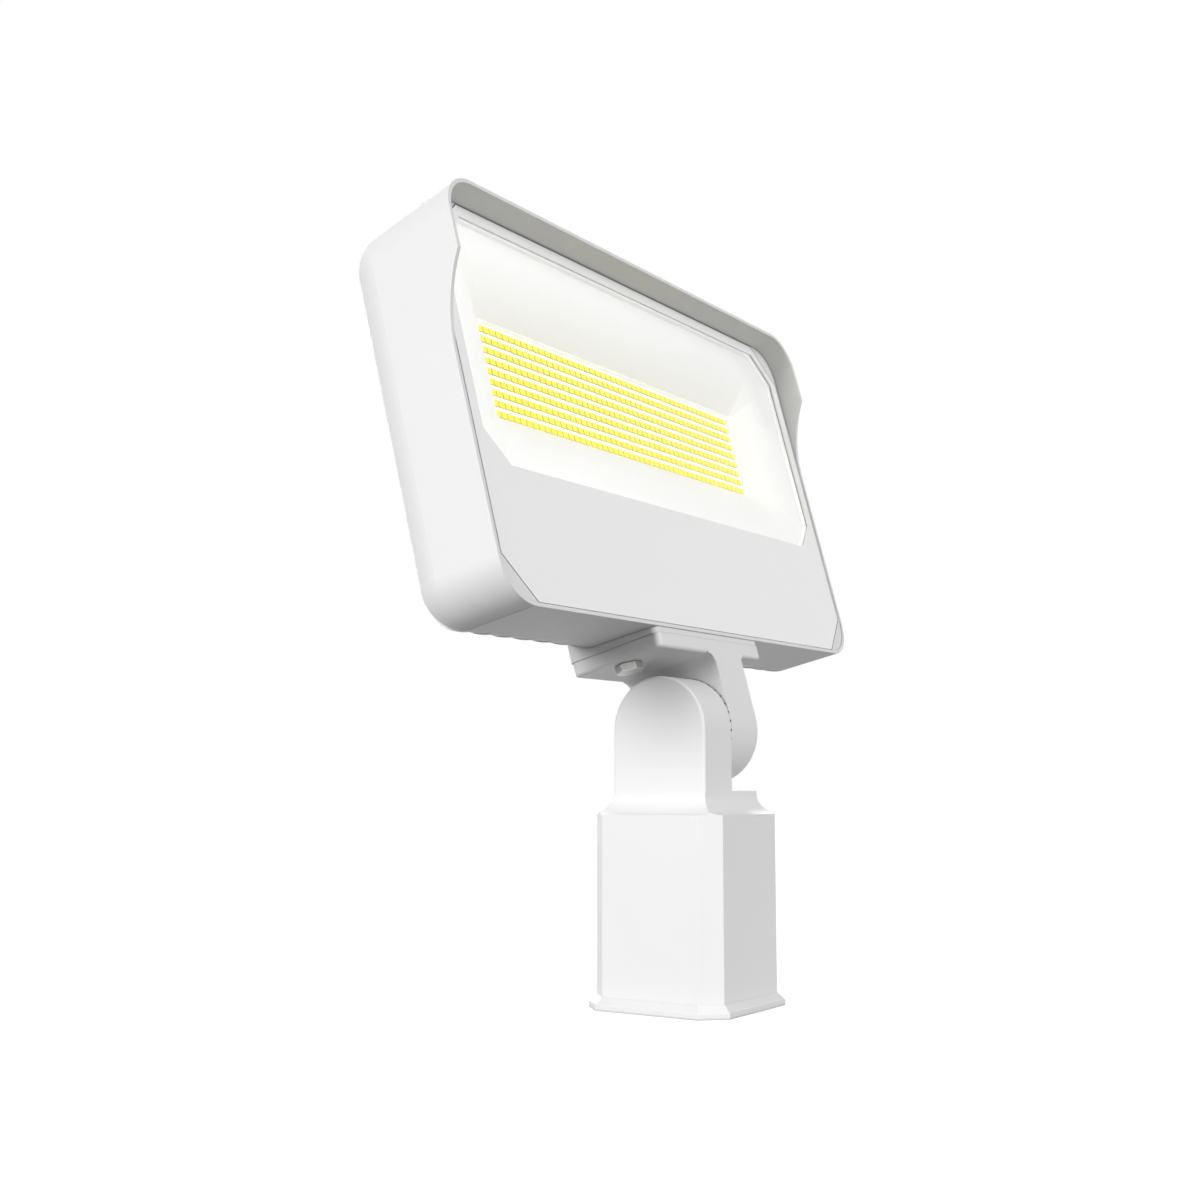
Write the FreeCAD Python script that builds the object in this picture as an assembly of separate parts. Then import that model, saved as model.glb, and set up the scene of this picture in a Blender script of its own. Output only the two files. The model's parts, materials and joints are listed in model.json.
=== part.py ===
import FreeCAD, Part
import math
import os

# LED flood light on a slip-fitter pole mount, in millimetres.
# The origin is the centre of the mouth of the pole bore, +Z is up, and the light shines towards -Y.
# The head is built upright about its pivot, and is then leaned back and lifted to its place.

V = FreeCAD.Vector
AXIS_X = V(1, 0, 0)
AXIS_Y = V(0, 1, 0)
AXIS_Z = V(0, 0, 1)

# Slip fitter: the square tube that goes over the pole tenon
bore_radius = 31.0
bore_depth = 102.0
tube_wall = 12.3
tube_corner_cut = 11.0
tube_roof = 11.3
flange_lip = 4.5
flange_height = 3.4
flare_height = 4.1
shelf_land = 1.9
parting_draft = 0.025

# Knuckle joint between the slip fitter and the head
knuckle_clearance = 4.5
knuckle_radius = 31.5
ear_thickness = 32.0
arm_thickness = 32.8
ear_edge_round = 1.4
groove_count = 36
groove_width = 2.0
groove_depth = 0.9
groove_ring_radius = 15.0
groove_run_out = 0.5
knuckle_face_gap = 0.2
wire_room_radius = 11.0
arm_wire_room_depth = 19.0
ear_wire_room_depth = 13.0
wire_way_radius = 5.0
head_lean = 15.0

# Pivot bolt
pivot_bolt_radius = 6.0
pivot_bolt_running_gap = 0.05
pivot_bolt_thread = 12.0
pivot_head_flats = 18.0
pivot_head_height = 7.5
pivot_washer_radius = 12.0
pivot_washer_thickness = 2.5
washer_face_gap = 0.1
washer_hole_gap = 0.3

# Clamp screws on the two hidden sides of the tube
clamp_screw_radius = 5.0
clamp_screw_low = 30.0
clamp_screw_drop = 20.0
clamp_screw_length = 20.0
clamp_socket_flats = 5.0
clamp_socket_depth = 5.0
clamp_nut_flats = 16.0
clamp_nut_height = 5.0
clamp_tip_recess = 0.4
thread_gap = 0.05

# Bracket that bolts to the underside of the housing
bracket_half_width = 61.0
bracket_clearance = 8.1
bracket_thickness = 8.6
bracket_corner_round = 4.0
bracket_edge_round = 2.2
inner_root_round = 7.0
outer_root_round = 3.0
bracket_bolt_inset = 12.6
bracket_bolt_radius = 4.75
bracket_bolt_hole_gap = 0.5
bracket_bolt_length = 19.0
blind_hole_room = 0.5
bracket_bolt_flats = 14.3
bracket_bolt_head = 5.5
seal_thickness = 0.3
seal_inset = 0.1
pad_margin = 0.4
pad_thickness = 3.7

# Housing with its visor
plate_front = -31.0
housing_half_width = 201.2
housing_depth = 63.5
head_height = 241.4
housing_corner_radius = 25.0
back_edge_radius = 22.0
top_slope = 0.10
underside_slope = 0.03
visor_reach = 16.3
visor_wall = 2.4
visor_knee_drop = 48.5
visor_sweep_drop = 101.8
rim_stand = 0.6

# Front plate with its window
plate_thickness = 1.0
plate_gap = 0.6
plate_side_rim = 3.5
plate_bottom_rim = 2.2
plate_top_cut = 26.5
plate_bottom_cut = 24.0
plate_skirt_wall = 2.0
window_side_border = 7.5
window_bottom_rise = 79.6
window_top_border = 7.2
window_top_cut = 20.0
window_bottom_cut = 18.5

# Glass, seals and reflector behind the window
lens_seal_thickness = 0.4
lens_seal_inset = 0.2
lens_overlap = 3.6
glass_thickness = 4.0
frame_seal_thickness = 0.8
reflector_wall = 1.2
reflector_flare_depth = 15.2
reflector_lip_depth = 2.6
reflector_corner_cut = 1.5
reflector_start_angle = 2.0
opening_side_margin = 2.2
opening_end_margin = 2.5
opening_drop = 2.7
ledge_support = 1.7

# Light-emitting board
chip_columns = 48
chip_rows = 9
chip_pitch_x = 6.0
chip_pitch_z = 6.68
chip_length = 5.6
chip_height = 4.0
chip_thickness = 0.8
solder_gap = 0.1
board_thickness = 1.6
board_margin = 7.0
board_gap = 0.9
pad_sheet_thickness = 0.8
floor_thickness = 4.0
board_screw_count = 5
board_screw_inset = 33.0
board_screw_radius = 1.5
board_screw_head_radius = 2.5
board_screw_head_height = 1.8
board_screw_length = 5.0
board_screw_edge = 3.4
small_hole_gap = 0.1

# Driver compartment behind the blank lower part of the plate
compartment_side_wall = 21.2
compartment_floor_rise = 7.8
compartment_back_wall = 6.5
compartment_edge_gap = 1.5
compartment_corner_radius = 10.0
divider_thickness = 6.2

# Cooling fins on the back
fin_count = 20
fin_edge_inset = 24.5
fin_thickness = 4.6
fin_stand = 3.0
fin_end_radius = 24.0

# Screws that pull the plate in from the back
plate_screw_slot_count = 9
plate_screw_low = 24.0
plate_screw_drop = 14.7
plate_screw_radius = 2.0
plate_screw_head_radius = 3.5
plate_screw_head_height = 2.6
plate_screw_seat = 30.0
plate_screw_tip_gap = 0.5
plate_boss_radius = 5.0
counterbore_gap = 1.0
pillar_wall = 2.0

# Driver, surge protector, terminal block, vent and grommet
unit_gap = 0.6
unit_spacing = 14.0
driver_inset = 30.0
driver_right = -6.0
driver_headroom = 4.3
driver_depth = 32.0
driver_edge_round = 2.0
driver_tab_length = 9.5
driver_tab_height = 18.0
driver_tab_thickness = 2.0
driver_screw_radius = 2.0
driver_screw_head_radius = 3.5
driver_screw_head_height = 2.4
driver_screw_length = 7.0
surge_length = 48.0
surge_height = 34.0
surge_depth = 24.0
terminal_inset = 32.0
terminal_length = 44.0
terminal_height = 18.0
terminal_depth = 18.0
terminal_bore_radius = 2.4
terminal_ways = 3
terminal_way_pitch = 13.0
vent_slot_count = 7
vent_drop = 13.7
vent_radius = 4.5
vent_head_radius = 6.2
vent_head_height = 4.5
vent_inner_reach = 2.0
grommet_wall = 2.0
grommet_flange_width = 2.5
grommet_flange_height = 2.0

# Places that follow from these sizes
tube_half_width = bore_radius + tube_wall
tube_top = bore_depth + tube_roof
cove_side = tube_half_width - ear_thickness
cove_front = tube_half_width - knuckle_radius
shelf_height = tube_top + cove_front + shelf_land
pivot_height = shelf_height + knuckle_clearance + knuckle_radius
clamp_screw_high = bore_depth - clamp_screw_drop
face_half_gap = knuckle_face_gap / 2
bracket_underside = knuckle_radius + bracket_clearance
bracket_top = bracket_underside + bracket_thickness
pad_half_width = bracket_half_width + pad_margin
pad_bottom = bracket_top + seal_thickness
underside = pad_bottom + pad_thickness
housing_top = underside + head_height
housing_back = plate_front + housing_depth
visor_front = plate_front - visor_reach
plate_half_width = housing_half_width - plate_side_rim - plate_gap
plate_bottom = underside + plate_bottom_rim + plate_gap
plate_top = housing_top - top_slope * visor_reach - visor_wall - plate_gap
window_half_width = plate_half_width - window_side_border
window_bottom = underside + window_bottom_rise
window_top = plate_top - window_top_border
glass_front = plate_front + plate_thickness + lens_seal_thickness
glass_back = glass_front + glass_thickness
reflector_front = glass_back
ledge = reflector_front + reflector_wall
skirt_back = ledge - frame_seal_thickness
reflector_back = reflector_front + reflector_flare_depth + reflector_lip_depth
board_front = reflector_back + board_gap
chip_back = board_front - solder_gap
floor_front = board_front + board_thickness + pad_sheet_thickness
floor_back = floor_front + floor_thickness
chips_half_width = (chip_pitch_x * (chip_columns - 1) + chip_length) / 2
chips_half_height = (chip_pitch_z * (chip_rows - 1) + chip_height) / 2
chips_middle = (window_bottom + window_top) / 2 - opening_drop
opening_half_width = chips_half_width + opening_side_margin
opening_bottom = chips_middle - chips_half_height - opening_end_margin
opening_top = chips_middle + chips_half_height + opening_end_margin
reflector_side_travel = window_half_width - opening_half_width
reflector_top_travel = window_top - opening_top
reflector_bottom_travel = opening_bottom - window_bottom
board_half_width = opening_half_width + board_margin
board_bottom = opening_bottom - board_margin - reflector_wall
board_top = opening_top + board_margin + reflector_wall
board_screw_pitch = 2 * (board_half_width - board_screw_inset) / (board_screw_count - 1)
divider_top = window_bottom - ledge_support
divider_bottom = divider_top - divider_thickness
compartment_floor = underside + compartment_floor_rise
compartment_back = housing_back - compartment_back_wall
compartment_half_width = housing_half_width - compartment_side_wall
wire_hole_x = face_half_gap + arm_wire_room_depth / 2
grommet_radius = wire_way_radius + grommet_wall
grommet_flange_radius = grommet_radius + grommet_flange_width
compartment_edge_cut = compartment_back - grommet_flange_radius - compartment_edge_gap
fin_pitch = 2 * (housing_half_width - fin_edge_inset) / (fin_count - 1)
counterbore_radius = plate_screw_head_radius + counterbore_gap
pillar_radius = counterbore_radius + pillar_wall
unit_bottom = compartment_floor + compartment_edge_cut + unit_gap
driver_left = driver_inset - compartment_half_width
driver_length = driver_right - driver_left
driver_height = divider_bottom - driver_headroom - unit_bottom
terminal_left = compartment_half_width - terminal_inset - terminal_length
surge_left = terminal_left - unit_spacing - surge_length
bracket_bolt_x = bracket_half_width - bracket_bolt_inset
arm_outer = face_half_gap + arm_thickness
REACH = 4 * housing_half_width


def box(x0, x1, y0, y1, z0, z1):
    return Part.makeBox(x1 - x0, y1 - y0, z1 - z0, V(x0, y0, z0))


def prism(points, travel):
    return Part.Face(Part.makePolygon(points + [points[0]])).extrude(travel)


def rod(radius, start, direction, length):
    return Part.makeCylinder(radius, length, start, direction)


def hexagon(flats, height, base, direction):
    corner = flats / math.sqrt(3)
    angles = [math.radians(60 * i) for i in range(6)]
    points = [V(corner * math.cos(a), corner * math.sin(a), 0) for a in angles]
    solid = prism(points, V(0, 0, height))
    solid.Placement = FreeCAD.Placement(base, FreeCAD.Rotation(AXIS_Z, direction))
    return solid


def joined(shapes):
    return shapes[0].fuse(shapes[1:]).removeSplitter()


def common(shapes):
    result = shapes[0]
    for shape in shapes[1:]:
        result = result.common(shape)
    return result


def rounded(shape, radius, wanted):
    return shape.makeFillet(radius, [edge for edge in shape.Edges if wanted(edge)])


def all_at(edge, axis, value):
    return all(abs(getattr(v.Point, axis) - value) < 1e-4 for v in edge.Vertexes)


def spans(edge, axis, length):
    ends = [getattr(v.Point, axis) for v in edge.Vertexes]
    return len(ends) == 2 and abs(abs(ends[0] - ends[1]) - length) < 1e-4


def in_place(shape):
    leaned = shape.copy()
    leaned.rotate(V(0, 0, 0), AXIS_X, -head_lean)
    leaned.translate(V(0, 0, pivot_height))
    return leaned


def octagon(half_width, bottom, top, cuts, grow, y):
    # The corner cuts of an octagon grown by a distance grow with it, so that all its sides move alike.
    w = half_width + grow
    b = bottom - grow
    t = top + grow
    low, high = [cut + grow * (2 - math.sqrt(2)) for cut in cuts]
    pairs = [(w, b + low), (w, t - high), (w - high, t), (high - w, t)]
    pairs += [(-w, t - high), (-w, b + low), (low - w, b), (w - low, b)]
    return [V(x, y, z) for x, z in pairs]


def window_slab(grow, y0, y1):
    cuts = (window_bottom_cut, window_top_cut)
    return prism(octagon(window_half_width, window_bottom, window_top, cuts, grow, y0), V(0, y1 - y0, 0))


def plate_slab(grow, y0, y1):
    cuts = (plate_bottom_cut, plate_top_cut)
    return prism(octagon(plate_half_width, plate_bottom, plate_top, cuts, grow, y0), V(0, y1 - y0, 0))


def top_at(y):
    return housing_top - top_slope * (y - visor_front)


def underside_at(y):
    return underside + underside_slope * (y - plate_front)


# Slip fitter
def flank(half_width, cove, place):
    # One outer half of the tube's outline, from its centre line to the outside, with the cove at its top.
    cove_mid = V(half_width - cove * math.sqrt(0.5), tube_top + cove * (1 - math.sqrt(0.5)), 0)
    outline = [(0, 0), (half_width + flange_lip, 0), (half_width + flange_lip, flange_height)]
    outline += [(half_width, flange_height + flare_height), (half_width, tube_top)]
    top = [(half_width - cove, tube_top + cove), (half_width - cove, shelf_height), (0, shelf_height), (0, 0)]
    edges = Part.makePolygon([place(*p) for p in outline]).Edges
    edges.append(Part.Arc(place(*outline[-1]), place(cove_mid.x, cove_mid.y), place(*top[0])).toShape())
    edges += Part.makePolygon([place(*p) for p in top]).Edges
    return Part.Face(Part.Wire(edges))


def corner_flank(direction):
    reach = (2 * tube_half_width - tube_corner_cut) / math.sqrt(2)
    outline = [(reach + flange_lip, 0), (reach + flange_lip, flange_height)]
    outline += [(reach, flange_height + flare_height), (reach, shelf_height)]
    right = [direction * s + AXIS_Z * z for s, z in outline]
    left = [direction * -s + AXIS_Z * z for s, z in reversed(outline)]
    across = direction.cross(AXIS_Z) * REACH
    solid = prism(right + left, across)
    solid.translate(across * -0.5)
    return solid


def tube():
    sides = []
    for sign in (-1, 1):
        face = flank(tube_half_width, cove_side, lambda s, z: V(sign * s, -REACH / 2, z))
        sides.append(face.extrude(V(0, REACH, 0)))
    fronts = []
    for sign in (-1, 1):
        face = flank(tube_half_width, cove_front, lambda s, z: V(0, sign * s, z))
        fronts.append(face.extrude(V(-REACH, 0, 0)))
        fronts.append(face.extrude(V(REACH, -sign * parting_draft * REACH, 0)))
    corners = [corner_flank(V(math.sqrt(0.5), s * math.sqrt(0.5), 0)) for s in (-1, 1)]
    return common([joined(sides), joined(fronts)] + corners)


def face_grooves(face_x, direction, first_angle):
    # Radial V grooves that all run to the pivot axis, each drawn to twice its height to pass out of the face.
    grooves = []
    for i in range(groove_count):
        turn = math.radians(first_angle + 360 * i / groove_count)
        outward = V(0, math.cos(turn), math.sin(turn))
        across = outward.cross(AXIS_X)
        ends = []
        for r in (groove_ring_radius, knuckle_radius + groove_run_out):
            share = r / knuckle_radius
            axis = V(face_x, 0, 0) + outward * r
            height = AXIS_X * (direction * groove_depth * share)
            side = across * (groove_width * share)
            corners = [axis - height, axis + height + side, axis + height - side]
            ends.append(Part.makePolygon(corners + [corners[0]]))
        grooves.append(Part.makeLoft(ends, True, True))
    return grooves


def ear():
    base = tube_top + cove_side - pivot_height
    depth = ear_thickness - face_half_gap
    block = box(-ear_thickness, -face_half_gap, -knuckle_radius, knuckle_radius, base, 0)
    disc = rod(knuckle_radius, V(-ear_thickness, 0, 0), AXIS_X, depth)
    body = joined([block, disc])
    outer = [e for e in body.Edges if all_at(e, "x", -ear_thickness) and not all_at(e, "z", base)]
    return body.makeFillet(ear_edge_round, outer).cut(face_grooves(-face_half_gap, 1, 0))


def slipfitter_body():
    shape = tube()
    shelf_cut = box(-REACH, 0, -REACH, REACH, tube_top + cove_side, REACH)
    knuckle = ear()
    knuckle.translate(V(0, 0, pivot_height))
    shape = joined([shape.cut(shelf_cut), knuckle])
    pivot = V(0, 0, pivot_height)
    holes = [rod(bore_radius, V(0, 0, 0), AXIS_Z, bore_depth)]
    holes.append(rod(wire_room_radius, pivot, AXIS_X * -1, face_half_gap + ear_wire_room_depth))
    reach = face_half_gap + ear_wire_room_depth + pivot_bolt_thread + 1
    holes.append(rod(pivot_bolt_radius + thread_gap, pivot, AXIS_X * -1, reach))
    wire_x = -face_half_gap - ear_wire_room_depth / 2
    holes.append(rod(wire_way_radius, V(wire_x, 0, bore_depth - 1), AXIS_Z, pivot_height - bore_depth))
    for base, direction in clamp_places():
        start = base - direction * (tube_half_width - bore_radius / 2)
        holes.append(rod(clamp_screw_radius + thread_gap, start, direction, tube_half_width))
    return shape.cut(holes)


def clamp_places():
    places = []
    for z in (clamp_screw_low, clamp_screw_high):
        places.append((V(tube_half_width, 0, z), AXIS_X))
        places.append((V(0, tube_half_width, z), AXIS_Y))
    return places


def clamp_screws():
    screws = []
    for base, direction in clamp_places():
        tip = base - direction * (tube_half_width - bore_radius - clamp_tip_recess)
        end = tip + direction * clamp_screw_length
        shank = rod(clamp_screw_radius, tip, direction, clamp_screw_length)
        screws.append(shank.cut(hexagon(clamp_socket_flats, clamp_socket_depth, end, direction * -1)))
    return Part.makeCompound(screws)


def clamp_nuts():
    nuts = []
    for base, direction in clamp_places():
        nut = hexagon(clamp_nut_flats, clamp_nut_height, base, direction)
        nuts.append(nut.cut(rod(clamp_screw_radius + thread_gap, base, direction, clamp_nut_height)))
    return Part.makeCompound(nuts)


def pivot_washer():
    base = V(arm_outer + washer_face_gap, 0, pivot_height)
    ring = rod(pivot_washer_radius, base, AXIS_X, pivot_washer_thickness)
    return ring.cut(rod(pivot_bolt_radius + washer_hole_gap, base, AXIS_X, pivot_washer_thickness))


def pivot_bolt():
    seat = arm_outer + washer_face_gap + pivot_washer_thickness
    tip = -face_half_gap - ear_wire_room_depth - pivot_bolt_thread
    shank = rod(pivot_bolt_radius, V(tip, 0, pivot_height), AXIS_X, seat - tip)
    head = hexagon(pivot_head_flats, pivot_head_height, V(seat, 0, pivot_height), AXIS_X)
    return joined([shank, head])


# Bracket and its seal
def bracket_bolt_places():
    return [V(-bracket_bolt_x, 0, bracket_underside), V(bracket_bolt_x, 0, bracket_underside)]


def knuckle_bracket():
    r = knuckle_radius
    w = bracket_half_width
    plate = box(-w, w, -r, r, bracket_underside, bracket_top)
    plate = rounded(plate, bracket_corner_round, lambda e: spans(e, "z", bracket_thickness))
    plate = rounded(plate, bracket_edge_round, lambda e: all_at(e, "z", bracket_underside))
    stem = box(face_half_gap, arm_outer, -r, r, 0, bracket_underside + bracket_edge_round)
    disc = rod(r, V(face_half_gap, 0, 0), AXIS_X, arm_thickness)
    arm = joined([stem, disc])
    roots = []
    for x, radius, side in ((face_half_gap, inner_root_round, -1), (arm_outer, outer_root_round, 1)):
        end = x + side * radius
        low = bracket_underside - radius
        block = box(min(x, end), max(x, end), -r, r, low, bracket_underside + bracket_edge_round)
        roots.append(block.cut(rod(radius, V(end, -r, low), AXIS_Y, 2 * r)))
    body = joined([plate, arm] + roots)
    holes = face_grooves(face_half_gap, -1, head_lean)
    holes.append(rod(wire_room_radius, V(0, 0, 0), AXIS_X, face_half_gap + arm_wire_room_depth))
    holes.append(rod(pivot_bolt_radius + pivot_bolt_running_gap, V(0, 0, 0), AXIS_X, REACH))
    holes.append(rod(wire_way_radius, V(wire_hole_x, 0, 0), AXIS_Z, REACH))
    for place in bracket_bolt_places():
        holes.append(rod(bracket_bolt_radius + bracket_bolt_hole_gap, place, AXIS_Z, bracket_thickness))
    return body.cut(holes)


def bracket_seal():
    w = bracket_half_width - seal_inset
    r = knuckle_radius - seal_inset
    sheet = box(-w, w, -r, r, bracket_top, pad_bottom)
    sheet = rounded(sheet, bracket_corner_round - seal_inset, lambda e: spans(e, "z", seal_thickness))
    holes = [rod(wire_way_radius, V(wire_hole_x, 0, bracket_top), AXIS_Z, seal_thickness)]
    for place in bracket_bolt_places():
        holes.append(rod(bracket_bolt_radius + bracket_bolt_hole_gap, place, AXIS_Z, pad_bottom - place.z))
    return sheet.cut(holes)


def bracket_bolts():
    bolts = []
    for place in bracket_bolt_places():
        head = hexagon(bracket_bolt_flats, bracket_bolt_head, place, AXIS_Z * -1)
        bolts.append(joined([head, rod(bracket_bolt_radius, place, AXIS_Z, bracket_bolt_length)]))
    return Part.makeCompound(bolts)


# Housing
def envelope():
    x = housing_half_width
    ends = [visor_front, housing_back]
    points = [V(-x, y, top_at(y)) for y in ends] + [V(-x, y, underside_at(y)) for y in reversed(ends)]
    block = prism(points, V(2 * x, 0, 0))
    block = rounded(block, housing_corner_radius, lambda e: spans(e, "y", housing_depth + visor_reach))
    return rounded(block, back_edge_radius, lambda e: all_at(e, "y", housing_back))


def fin_outline(x):
    back = housing_back + fin_stand
    ends = [plate_front, back]
    points = [V(x, y, top_at(y)) for y in ends] + [V(x, y, underside_at(y)) for y in reversed(ends)]
    plate = prism(points, V(fin_thickness, 0, 0))
    return rounded(plate, fin_end_radius, lambda e: all_at(e, "y", back) and spans(e, "x", fin_thickness))


def fins():
    first = -fin_pitch * (fin_count - 1) / 2
    return [fin_outline(first + i * fin_pitch - fin_thickness / 2) for i in range(fin_count)]


def fin_slots():
    # The slots are deep behind the board, and run out on a slope above the driver compartment.
    slope_start = divider_top + ledge_support
    slope_end = slope_start + housing_back - floor_back
    back = housing_back + fin_stand + 1
    slots = []
    for i in range(fin_count - 1):
        x = fin_pitch * (i - (fin_count - 2) / 2)
        x0 = x - (fin_pitch - fin_thickness) / 2
        outline = [(back, slope_start), (housing_back, slope_start), (floor_back, slope_end)]
        outline += [(floor_back, housing_top + 1), (back, housing_top + 1)]
        slots.append(prism([V(x0, y, z) for y, z in outline], V(fin_pitch - fin_thickness, 0, 0)))
    return slots


def visor_cut():
    # Everything in front of the rim below the visor: a tangent sweep up to the knee.
    rim = plate_front - rim_stand
    knee_z = housing_top - visor_knee_drop
    sweep_z = housing_top - visor_sweep_drop
    rise = knee_z - sweep_z
    reach = visor_reach - rim_stand
    radius = (rise * rise + reach * reach) / (2 * reach)
    half_angle = math.atan2(reach, rise)
    x = -REACH / 2
    clear = visor_front - visor_reach
    mid = V(x, rim - radius * (1 - math.cos(half_angle)), sweep_z + radius * math.sin(half_angle))
    knee = V(x, visor_front, knee_z)
    foot = V(x, rim, sweep_z)
    edges = Part.makePolygon([knee, V(x, clear, knee_z), V(x, clear, 0), V(x, rim, 0), foot]).Edges
    edges.append(Part.Arc(foot, mid, knee).toShape())
    return Part.Face(Part.Wire(edges)).extrude(V(REACH, 0, 0))


def visor_room():
    x = housing_half_width - visor_wall
    ends = [visor_front - 1, plate_front]
    low = underside + plate_bottom_rim
    points = [V(-x, y, top_at(y) - visor_wall) for y in ends] + [V(-x, y, low) for y in reversed(ends)]
    block = prism(points, V(2 * x, 0, 0))
    return rounded(block, housing_corner_radius - visor_wall, lambda e: spans(e, "y", visor_reach + 1))


def compartment():
    x = compartment_half_width
    floor = compartment_floor
    room = box(-x, x, ledge, compartment_back, floor, divider_bottom)
    room = rounded(room, compartment_corner_radius, lambda e: spans(e, "y", compartment_back - ledge))
    back = compartment_back
    outline = [(back, floor), (back - compartment_edge_cut, floor), (back, floor + compartment_edge_cut)]
    return room.cut(prism([V(-x, y, z) for y, z in outline], V(2 * x, 0, 0)))


def plate_screw_places():
    x = plate_screw_slot_count * fin_pitch
    levels = (underside + plate_screw_low, divider_bottom - plate_screw_drop)
    return [V(s * x, 0, z) for s in (-1, 1) for z in levels]


def blind_holes(radius, places, direction, length):
    return [rod(radius + thread_gap, place, direction, length + blind_hole_room) for place in places]


def housing():
    pad_top = underside_at(housing_back) + back_edge_radius
    pad = box(-pad_half_width, pad_half_width, plate_front, housing_back, pad_bottom, pad_top)
    pad = rounded(pad, bracket_corner_round + pad_margin, lambda e: spans(e, "z", pad_top - pad_bottom))
    shape = joined([envelope(), pad] + fins())
    shape = shape.cut([visor_cut(), visor_room()] + fin_slots())
    hollow = [plate_slab(plate_gap, plate_front - rim_stand - 1, ledge)]
    hollow.append(window_slab(ledge_support, ledge - 1, floor_front))
    room = compartment()
    pillars = []
    holes = []
    for place in plate_screw_places():
        at = V(place.x, ledge, place.z)
        pillars.append(rod(pillar_radius, at, AXIS_Y, compartment_back - ledge + 1))
        holes.append(rod(plate_screw_radius + small_hole_gap, at, AXIS_Y, housing_depth))
        seat = V(place.x, plate_front + plate_screw_seat, place.z)
        holes.append(rod(counterbore_radius, seat, AXIS_Y, housing_depth))
    shape = shape.cut(hollow + [room.cut(pillars)])
    holes.append(rod(grommet_radius, V(wire_hole_x, 0, 0), AXIS_Z, compartment_floor + 1))
    holes += blind_holes(bracket_bolt_radius, bracket_bolt_places(), AXIS_Z, bracket_bolt_length)
    holes += blind_holes(board_screw_radius, board_screw_places(), AXIS_Y, board_screw_length)
    holes += blind_holes(driver_screw_radius, driver_screw_places(), AXIS_Y, driver_screw_length)
    vent = V(vent_slot_count * fin_pitch, compartment_back - 1, divider_bottom - vent_drop)
    holes.append(rod(vent_radius + thread_gap, vent, AXIS_Y, housing_depth))
    return shape.cut(holes)


# Front plate, glass and seals
def front_plate():
    sheet = plate_slab(0, plate_front, plate_front + plate_thickness)
    skirt_front = plate_front + plate_thickness
    skirt = plate_slab(0, skirt_front, skirt_back).cut(plate_slab(-plate_skirt_wall, skirt_front, skirt_back))
    rib = cross_bar(skirt_front, skirt_back)
    bosses = []
    holes = []
    for place in plate_screw_places():
        at = V(place.x, skirt_front, place.z)
        bosses.append(rod(plate_boss_radius, at, AXIS_Y, ledge - skirt_front))
        holes.append(rod(plate_screw_radius + thread_gap, at, AXIS_Y, ledge - skirt_front))
    body = joined([sheet, skirt, rib] + bosses)
    return body.cut([window_slab(0, plate_front, skirt_front)] + holes)


def cross_bar(y0, y1):
    top = window_bottom - lens_overlap - plate_gap
    return box(-plate_half_width, plate_half_width, y0, y1, divider_bottom, top)


def lens_seal():
    front = plate_front + plate_thickness
    return window_slab(lens_overlap, front, glass_front).cut(window_slab(lens_seal_inset, front, glass_front))


def glass_lens():
    return window_slab(lens_overlap, glass_front, glass_back)


def frame_seal():
    ring = plate_slab(0, skirt_back, ledge).cut(plate_slab(-plate_skirt_wall, skirt_back, ledge))
    return joined([ring, cross_bar(skirt_back, ledge)])


def plate_screws():
    screws = []
    for place in plate_screw_places():
        seat = V(place.x, plate_front + plate_screw_seat, place.z)
        length = plate_screw_seat - plate_thickness - plate_screw_tip_gap
        shank = rod(plate_screw_radius, seat, AXIS_Y * -1, length)
        head = rod(plate_screw_head_radius, seat, AXIS_Y, plate_screw_head_height)
        screws.append(joined([shank, head]))
    return Part.makeCompound(screws)


# Reflector: each wall starts flat behind the glass, curves back on an arc and ends in a short straight lip
def wall_section(travel, wall, origin, inward):
    # The space on the light side of one wall, or, with a wall thickness, that space with the wall added.
    chord_angle = math.atan2(reflector_flare_depth, travel)
    first = math.radians(reflector_start_angle)
    half_sweep = chord_angle - first
    radius = math.hypot(reflector_flare_depth, travel) / (2 * math.sin(half_sweep))
    centre = origin - inward * (radius * math.sin(first)) + AXIS_Y * (radius * math.cos(first))
    arc_points = []
    for angle in (first, chord_angle, chord_angle + half_sweep):
        spoke = inward * math.sin(angle) - AXIS_Y * math.cos(angle)
        arc_points.append(centre + spoke * (radius - wall))
    start, middle, end = arc_points
    flange_back = origin + AXIS_Y * (start - origin).dot(AXIS_Y)
    lip = origin + AXIS_Y * (reflector_flare_depth + reflector_lip_depth)
    far = inward * REACH
    outline = [end, lip + inward * (end - origin).dot(inward), lip + far, origin + far]
    if wall > 0:
        outline += [origin - inward * lens_overlap, flange_back - inward * lens_overlap]
    outline.append(start)
    edges = Part.makePolygon(outline).Edges + [Part.Arc(start, middle, end).toShape()]
    return Part.Face(Part.Wire(edges))


def corner_travel(end_travel, window_cut):
    # A corner wall runs out into a small cut at the corner of the board opening.
    return (reflector_side_travel + end_travel - window_cut + reflector_corner_cut) * math.sqrt(0.5)


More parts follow.
